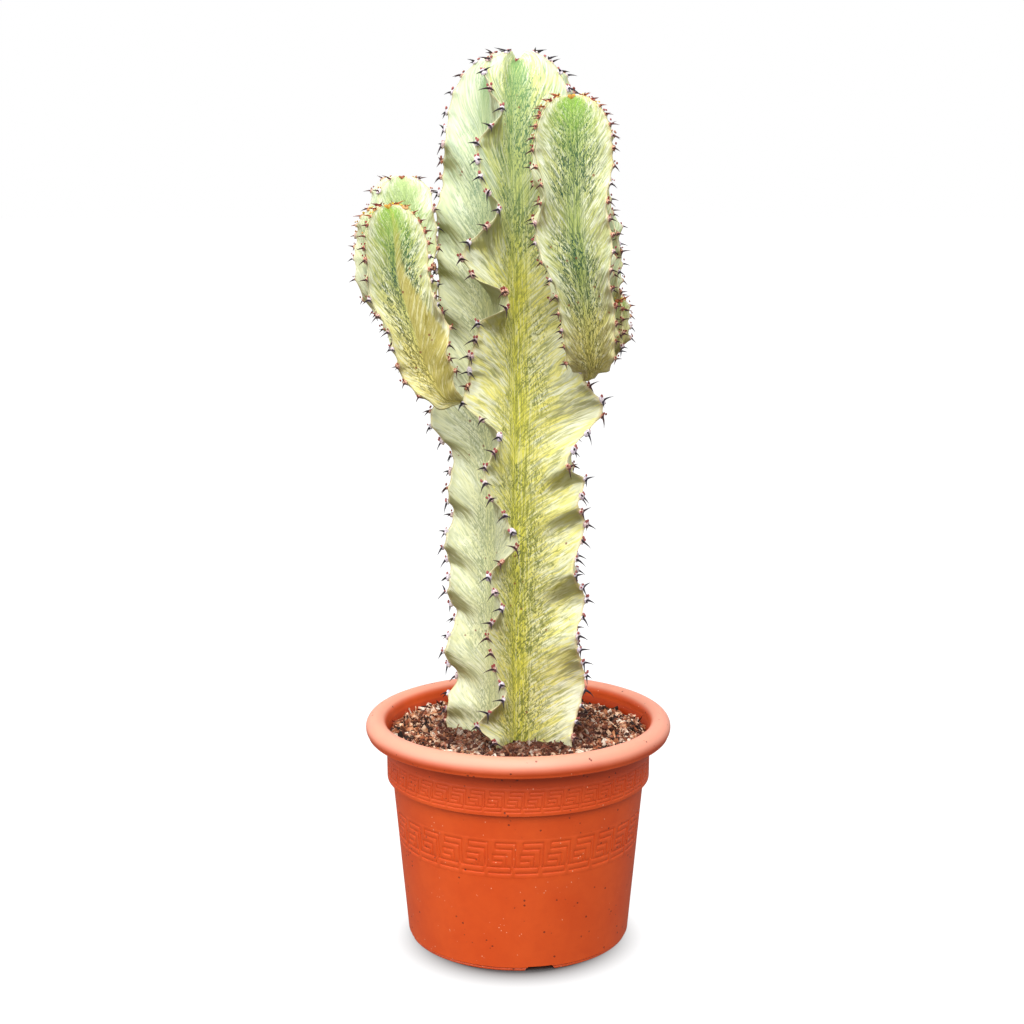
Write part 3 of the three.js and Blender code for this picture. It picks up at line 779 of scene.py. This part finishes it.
shoot = side_stem(
    [[70, 12, 463], [75, 3, 470], [75.5, -2, 481], [75.5, -4, 493]],
    20, [[460, 4], [472, 9], [494, 9]],
    [wave(1, 20, 0), wave(1, 22, 1), wave(1, 24, 2), wave(1, 20, 3)],
    seat=(66, 16, 460), cap=10, areole=9)
mint_colours = {
    "low": (paint(240, 232, 164), paint(236, 220, 124), paint(230, 214, 110), paint(122, 116, 54)),
    "high": (paint(208, 212, 172), paint(186, 188, 102), paint(160, 174, 92), paint(46, 78, 54)),
    "change": (0.455, 0.53), "tip": paint(112, 156, 16), "shade": paint(116, 100, 38),
    "stripe_width": 0.2, "slope": (0.028, 0.042)}
mint = skin_finish("mint_skin", marking=1.1, **mint_colours)
halved = skin_finish("halved_skin", marking=1.2, halved=0.85, **mint_colours)
cream = skin_finish(
    "cream_skin",
    low=(paint(222, 226, 170), paint(206, 208, 116), paint(188, 192, 92), paint(110, 130, 56)),
    high=(paint(222, 232, 196), paint(196, 208, 136), paint(174, 194, 116), paint(78, 118, 70)),
    change=(0.48, 0.55), tip=paint(176, 200, 128), shade=paint(146, 130, 50),
    stripe_width=0.18, slope=(0.028, 0.042), marking=0.9)
side_stems = [
    (arm_left_front, "arm_left_front", halved), (arm_left_back, "arm_left_back", cream),
    (arm_right_front, "arm_right_front", mint), (arm_right_back, "arm_right_back", cream),
    (shoot, "shoot", mint),
]
for stem, name, finish in side_stems:
    skin = stem_skin(stem, name + "_skin")
    skin.data.materials.append(finish)
    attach(skin, "root")
    if name != "shoot":
        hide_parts(name)

# Areoles. On every scallop of a margin sits a corky pad with two dark spines that spread sideways,
# and a small bud above them. They are grown from the stem that bears them. Sizes are millimetres.
PAD_SIZE = (2.2, 1.7, 2.9)
THORN_LENGTH = 7.0
THORN_RADIUS = 0.92
PAD, SPINE, BUD = range(3)


def taken(model):
    """A model's points and faces. The model itself is put away."""
    points = np.array([vertex.co for vertex in model.data.vertices])
    faces = [list(face.vertices) for face in model.data.polygons]
    bpy.data.objects.remove(model)
    return points, faces


deselect()
bpy.ops.mesh.primitive_ico_sphere_add(subdivisions=2, radius=1)
pad = bpy.context.object
random.seed(4)
for vertex in pad.data.vertices:
    vertex.co *= random.uniform(0.8, 1.15)
pad_points, pad_faces = taken(pad)
pad_points *= PAD_SIZE
bpy.ops.mesh.primitive_cone_add(
    vertices=6, radius1=THORN_RADIUS, radius2=0.05, depth=THORN_LENGTH)
edit(True)
bpy.ops.mesh.subdivide(number_cuts=2)
close_edit()
thorn_points, thorn_faces = taken(bpy.context.object)
thorn_points[:, 2] += THORN_LENGTH / 2

spine_and_cork, shader, place = new_finish("spine_and_cork")
grain = place.grain(900, 3, 0.6)
young, part, tint = (place.reading(kind) for kind in ("young", "part", "tint"))
cork = tint.over(0.2, 0.8).blend(paint(188, 172, 188), paint(150, 82, 58))
cork = grain.over(0.42, 0.62).blend(
    cork, tint.over(0.2, 0.8).blend(paint(236, 228, 230), paint(226, 186, 158)))
cork = young.blend(cork, tint.over(0.5, 0.9).blend(paint(204, 150, 52), paint(150, 50, 36)))
spine = tint.over(0.3, 0.9).blend(paint(34, 24, 36), paint(66, 28, 26))
spine = (young * 0.8).blend(
    spine, tint.over(0.4, 0.9).blend(paint(190, 96, 34), paint(120, 36, 34)))
bud = tint.over(0.2, 0.8).blend(paint(160, 84, 80), paint(128, 50, 40))
bud = young.blend(bud, tint.over(0.6, 0.95).blend(paint(224, 196, 46), paint(150, 40, 34)))
colour = part.over(0.3, 0.6).blend(cork, spine)
feed(shader, "Base Color", part.over(1.3, 1.6).blend(colour, bud))
feed(shader, "Roughness", 0.45 + 0.35 * grain)
feed(shader, "Normal", place.bump(0.6, 0.0003, grain))


def areole_set(stem, name, redness, youth, scale):
    """All areoles of a stem, as one piece. youth is how bright those near the tip are, and redness
    from 0 to 1 how many have turned from grey to red-brown."""
    chance = random.Random(name)
    vertices, faces, young, part, tint = [], [], [], [], []

    def place(points, shape_faces, centre, out, side, up, kind, age, shade):
        first = sum(len(block) for block in vertices)
        vertices.append(centre + points[:, :1] * side + points[:, 1:2] * out
                        + points[:, 2:] * up)
        faces.extend([[index + first for index in face] for face in shape_faces])
        young.extend([age] * len(points))
        part.extend([kind] * len(points))
        tint.extend([shade] * len(points))
    for rib, (azimuth, _, _) in enumerate(stem.ribs):
        for distance, close in stem.areoles():
            centre, axis, right, front = stem.frame(distance)
            if centre[2] < max(stem.rooted, 168):
                continue
            margin = stem.point(rib, np.array(distance), np.array(close), 0, 1.0, 1.3)
            ahead = stem.point(rib, np.array(max(distance - 2, 0) if close == 0 else distance),
                               np.array(max(close - 0.04, 0)), 0, 1.0, 1.3)
            up = unit(margin - ahead)
            angle = math.radians(azimuth)
            out = right * math.sin(angle) + front * math.cos(angle)
            out = out * math.cos(close) + axis * math.sin(close)
            out = unit(out - up * np.dot(out, up))
            side = np.cross(up, out)
            left = stem.length - distance
            age = youth * max(0.0, 1 - (left + (math.pi / 2 - close) * 30) / 52)
            size = scale * chance.uniform(0.6, 1.1)
            shade = min(1, max(0, redness + chance.uniform(-0.42, 0.42)))
            uneven = [chance.uniform(0.7, 1.25), chance.uniform(0.8, 1.2), chance.uniform(0.7, 1.2)]
            place(pad_points * size * uneven, pad_faces, margin, out, side, up, PAD, age, shade)
            for hand in (-1, 1):
                lean = math.radians(chance.uniform(46, 68)) * hand
                dip = math.radians(chance.uniform(-32, 4))
                point = unit(out * math.cos(lean) + side * math.sin(lean) + up * math.sin(dip))
                across = unit(np.cross(up, point))
                third = np.cross(point, across)
                bent = thorn_points * np.array([scale, scale, scale * chance.uniform(0.75, 1.15)])
                bent = bent + np.array([0, -0.035, 0]) * bent[:, 2:] ** 2
                place(bent[:, [0, 2, 1]], thorn_faces, margin + out * 0.6, point, across, third,
                      SPINE, age, shade)
                if chance.random() < 0.75:
                    spot = (margin + up * chance.uniform(2.0, 3.4) + out * 0.9
                            + side * hand * chance.uniform(0.6, 1.5))
                    place(pad_points * scale * chance.uniform(0.25, 0.45), pad_faces, spot, out,
                          side, up, BUD, age, shade)
    centre, axis, right, front = stem.frame(stem.length)
    for bud in range(7):
        turn = bud * 2.4
        spot = (centre + axis * (stem.cap - stem.dimple + 0.6 + 0.2 * bud)
                + (right * math.sin(turn) + front * math.cos(turn)) * 0.8 * bud ** 0.5)
        place(pad_points * (0.55 + 0.35 * youth) * scale, pad_faces, spot, front, right, axis, BUD,
              0.6 * youth, chance.uniform(0.5, 1))
    piece = mesh_piece(name, np.concatenate(vertices) / 1000, faces)
    give(piece, young=young, part=part, tint=tint)
    piece.data.shade_smooth()
    make_active(piece)
    edit(True)
    bpy.ops.mesh.normals_make_consistent(inside=False)
    close_edit()
    piece.data.materials.append(spine_and_cork)
    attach(piece, "root")


areole_set(column, "column_spines", 0.35, 0.0, 1.15)
for stem, name, finish in side_stems:
    rear = finish is cream
    areole_set(stem, name + "_spines", 0.4 if rear else 0.75,
               0.2 if rear else 1.0, 0.82)

# Soil. Potting mix of bark and peat: a lumpy ground that fills the pot, with loose crumbs, chips
# and fibres on it.
SOIL_LEVEL = 0.162
SOIL_RADIUS = 0.1012
SOIL_DEPTH = 0.155
SOIL_TAPER = 0.835
CRUMB_COUNT = 18500
CRUMB_FIELD = 0.0995
deselect()
bpy.ops.mesh.primitive_cylinder_add(
    vertices=96, radius=SOIL_RADIUS, depth=SOIL_DEPTH, end_fill_type="NGON",
    location=(0, 0, SOIL_LEVEL - SOIL_DEPTH / 2))
soil = bpy.context.object
soil.name = soil.data.name = "soil_bed"
bpy.ops.object.transform_apply(location=True)
for vertex in soil.data.vertices:
    if vertex.co.z < 0.05:
        vertex.co.x *= SOIL_TAPER
        vertex.co.y *= SOIL_TAPER
edit(False)
bpy.ops.mesh.select_mode(type="FACE")
close_edit()
for face in soil.data.polygons:
    face.select = face.normal.z > 0.9
bpy.ops.object.mode_set(mode="EDIT")
for ring in range(30):
    bpy.ops.mesh.inset(thickness=0.0033)
bpy.ops.mesh.poke()
close_edit()


def ground(x, y):
    """Height of the soil, with low lumps, and a heap by the pot's left side."""
    x, y = x * 1000, y * 1000
    lumps = np.sin(x / 9 + 1) * np.cos(y / 8) + 0.7 * np.sin(x / 4.3 - y / 5.1)
    fine = 0.5 * np.sin(x / 1.9 + 2) * np.sin(y / 2.3) + 0.4 * np.sin(x / 1.1 - y / 1.4)
    clump = 4 * np.exp(-((x + 88) ** 2 + (y - 18) ** 2) / 120)
    return SOIL_LEVEL + (1.3 * lumps + 0.6 * fine + clump) / 1000


for vertex in soil.data.vertices:
    if vertex.co.z > SOIL_LEVEL - 0.001:
        vertex.co.z = ground(vertex.co.x, vertex.co.y)
soil.data.shade_smooth()
chance = np.random.default_rng(11)
bpy.ops.mesh.primitive_cube_add(size=1.5)
block, block_faces = taken(bpy.context.object)
corners = len(block)
foot_ring = [column.point(rib, np.array(42.0), np.array(0.0), side, share)
             for rib in range(5) for side, share in ((-1, 0.0), (-1, 1.0), (1, 1.0))]
foot_ring = np.array(foot_ring)[:, :2] / 1000


def in_column(x, y):
    """Whether a place on the soil is inside the column's star-shaped foot."""
    inside = np.zeros(len(x), bool)
    for (x0, y0), (x1, y1) in zip(foot_ring, np.roll(foot_ring, -1, 0)):
        crossing = (y0 > y) != (y1 > y)
        where = x0 + (y - y0) * (x1 - x0) / (y1 - y0 + 1e-12)
        inside ^= crossing & (x < where)
    return inside


# The crumbs are grains, flat chips and thin fibres. Each lies turned at random.
radius = CRUMB_FIELD * np.sqrt(chance.random(CRUMB_COUNT))
turn = chance.random(CRUMB_COUNT) * 2 * np.pi
x, y = radius * np.cos(turn), radius * np.sin(turn)
keep = ~in_column(x, y)
x, y = x[keep], y[keep]
count = len(x)
kind = chance.random(count)
size = 0.00038 + 0.0015 * chance.random(count) ** 4.6
stretch = np.where(kind[:, None] < 0.4, chance.uniform(0.8, 1.4, (count, 3)), np.where(
    kind[:, None] < 0.93, [2.2, 1.3, 0.55] * chance.uniform(0.8, 1.2, (count, 3)),
    [6.0, 0.3, 0.3] * chance.uniform(0.8, 1.2, (count, 3))))
shapes = block[None] * chance.uniform(0.7, 1.35, (count, corners, 1))
shapes = shapes * (size[:, None] * stretch)[:, None]
quaternion = chance.normal(size=(count, 4)) * np.where(kind < 0.4, 1.0, 0.4)[:, None]
quaternion[:, 0] += np.where(kind < 0.4, 0.0, 1.0)
quaternion = unit(quaternion)
w, a, b, c = quaternion.T
turning = np.array([
    [1 - 2 * (b * b + c * c), 2 * (a * b - c * w), 2 * (a * c + b * w)],
    [2 * (a * b + c * w), 1 - 2 * (a * a + c * c), 2 * (b * c - a * w)],
    [2 * (a * c - b * w), 2 * (b * c + a * w), 1 - 2 * (a * a + b * b)]]).transpose(2, 0, 1)
spin = chance.random(count) * 2 * np.pi
flat = np.zeros((count, 3, 3))
flat[:, 0, 0] = flat[:, 1, 1] = np.cos(spin)
flat[:, 0, 1], flat[:, 1, 0], flat[:, 2, 2] = -np.sin(spin), np.sin(spin), 1
shapes = np.einsum("nij,nkj->nki", flat @ turning, shapes)
level = ground(x, y) + size * 0.35 + 0.0012 * chance.random(count) ** 3
shapes += np.stack([x, y, level], 1)[:, None]
crumb_faces = np.array(block_faces)[None] + corners * np.arange(count)[:, None, None]
crumbs = mesh_piece("soil_crumbs", shapes.reshape(-1, 3), crumb_faces.reshape(-1, 4).tolist())
give(crumbs, tone=np.repeat(chance.random(count), corners))

earth, shader, place = new_finish("potting_soil")
grain = place.grain(420, 5, 0.7)
lump = place.grain(70, 3, 0.6)
colour = grain.over(0.35, 0.7).blend(paint(58, 32, 20), paint(120, 72, 46))
colour = lump.over(0.5, 0.75).blend(colour, paint(44, 28, 22))
feed(shader, "Base Color", colour)
feed(shader, "Roughness", 0.8 + 0.15 * grain)
feed(shader, "Normal", place.bump(1.0, 0.0012, grain + lump))
soil.data.materials.append(earth)

crumb_finish, shader, place = new_finish("bark_crumbs")
grain = place.grain(1500, 3, 0.6)
heap = place.reading("tone") + 1.3 * (place.grain(60, 3, 0.6) - 0.5)
colour = place.node("ValToRGB", {"stops": [
    (0.0, paint(22, 12, 10)), (0.24, paint(74, 36, 20)), (0.44, paint(136, 70, 40)),
    (0.62, paint(196, 128, 86)), (0.74, paint(250, 214, 180)), (0.82, paint(156, 70, 38)),
    (0.92, paint(216, 178, 152)), (1.0, paint(255, 240, 220))]}, {"Fac": heap})
# The crumbs are darker towards the pot's front edge and round the column's foot.
darker_front_and_middle = place.axis("Y").over(-0.068, -0.084) + 1 - place.off_axis().over(0.055, 0.080)
colour = (darker_front_and_middle * 0.68).blend(colour, paint(76, 32, 12))
colour = (grain.over(0.4, 0.7) * 0.35).blend(colour, paint(60, 38, 26))
feed(shader, "Base Color", colour)
feed(shader, "Roughness", 0.7 + 0.2 * grain)
feed(shader, "Normal", place.bump(0.7, 0.0004, grain))
crumbs.data.materials.append(crumb_finish)
for piece in (soil, crumbs):
    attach(piece, "root")
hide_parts("soil")

# Floor and light. A pale floor and a pale studio, so bright that nothing of them shows but the soft
# shade round the pot's foot, which is partly real shadow and partly a painted shadow in the floor's
# finish. One large light hangs over the plant, one stands in front of it and a weak one at its
# left.
deselect()
bpy.ops.mesh.primitive_plane_add(size=60)
floor = bpy.context.object
floor.name = "floor"
floor.visible_diffuse = floor.visible_glossy = False
pale, shader, place = new_finish("pale_floor_painted_shadow")
shader.inputs["Base Color"].default_value = (0.11, 0.11, 0.11, 1)
shader.inputs["Roughness"].default_value = 1.0
shader.inputs["Specular IOR Level"].default_value = 0.0
# Painted shadow: the floor's glow fades out close round the pot's foot, in a ring set a little
# towards the front.
far = place.node("VectorMath", {"operation": "DISTANCE"}, {0: place, 1: (0, -0.020, 0)}, "Value")
feed(shader, "Emission Color", (far.over(0.069, 0.112) ** 0.42).blend((0, 0, 0, 1), (1, 1, 1, 1)))
shader.inputs["Emission Strength"].default_value = 1.0
floor.data.materials.append(pale)

world = bpy.data.worlds.new("studio")
world.use_nodes = True
background = world.node_tree.nodes["Background"]
seen = Tone(background.outputs[0]).node("LightPath", output="Is Camera Ray")
way = seen.node("TexCoord", output="Generated")
height = way.axis("Z")
glow = height.over(-0.4, 0.1).blend((0.22, 0.22, 0.22, 1), (0.70, 0.70, 0.70, 1))
glow = height.over(0.1, 0.9).blend(glow, (0.84, 0.84, 0.84, 1))
feed(background, "Color", seen.blend(glow, (1, 1, 1, 1)))
bpy.context.scene.world = world


def softbox(name, location, aim, size, power):
    light = bpy.data.objects.new(name, bpy.data.lights.new(name, "AREA"))
    light.location = location
    light.data.shape = "SQUARE"
    light.data.size = size
    light.data.energy = power
    direction = np.array(aim) - np.array(location)
    flat_length = math.hypot(direction[0], direction[1])
    light.rotation_euler = (
        math.atan2(flat_length, -direction[2]), 0, math.atan2(-direction[0], direction[1]))
    bpy.context.scene.collection.objects.link(light)


softbox("overhead", (-0.3, -0.5, 2.3), (0, 0, 0.35), 1.8, 31)
softbox("front", (0.15, -1.8, 1.7), (0, 0, 0.35), 1.4, 36)
softbox("side", (-1.6, -0.9, 1.0), (0, 0, 0.35), 1.0, 14)
bpy.context.scene.view_settings.view_transform = "Standard"
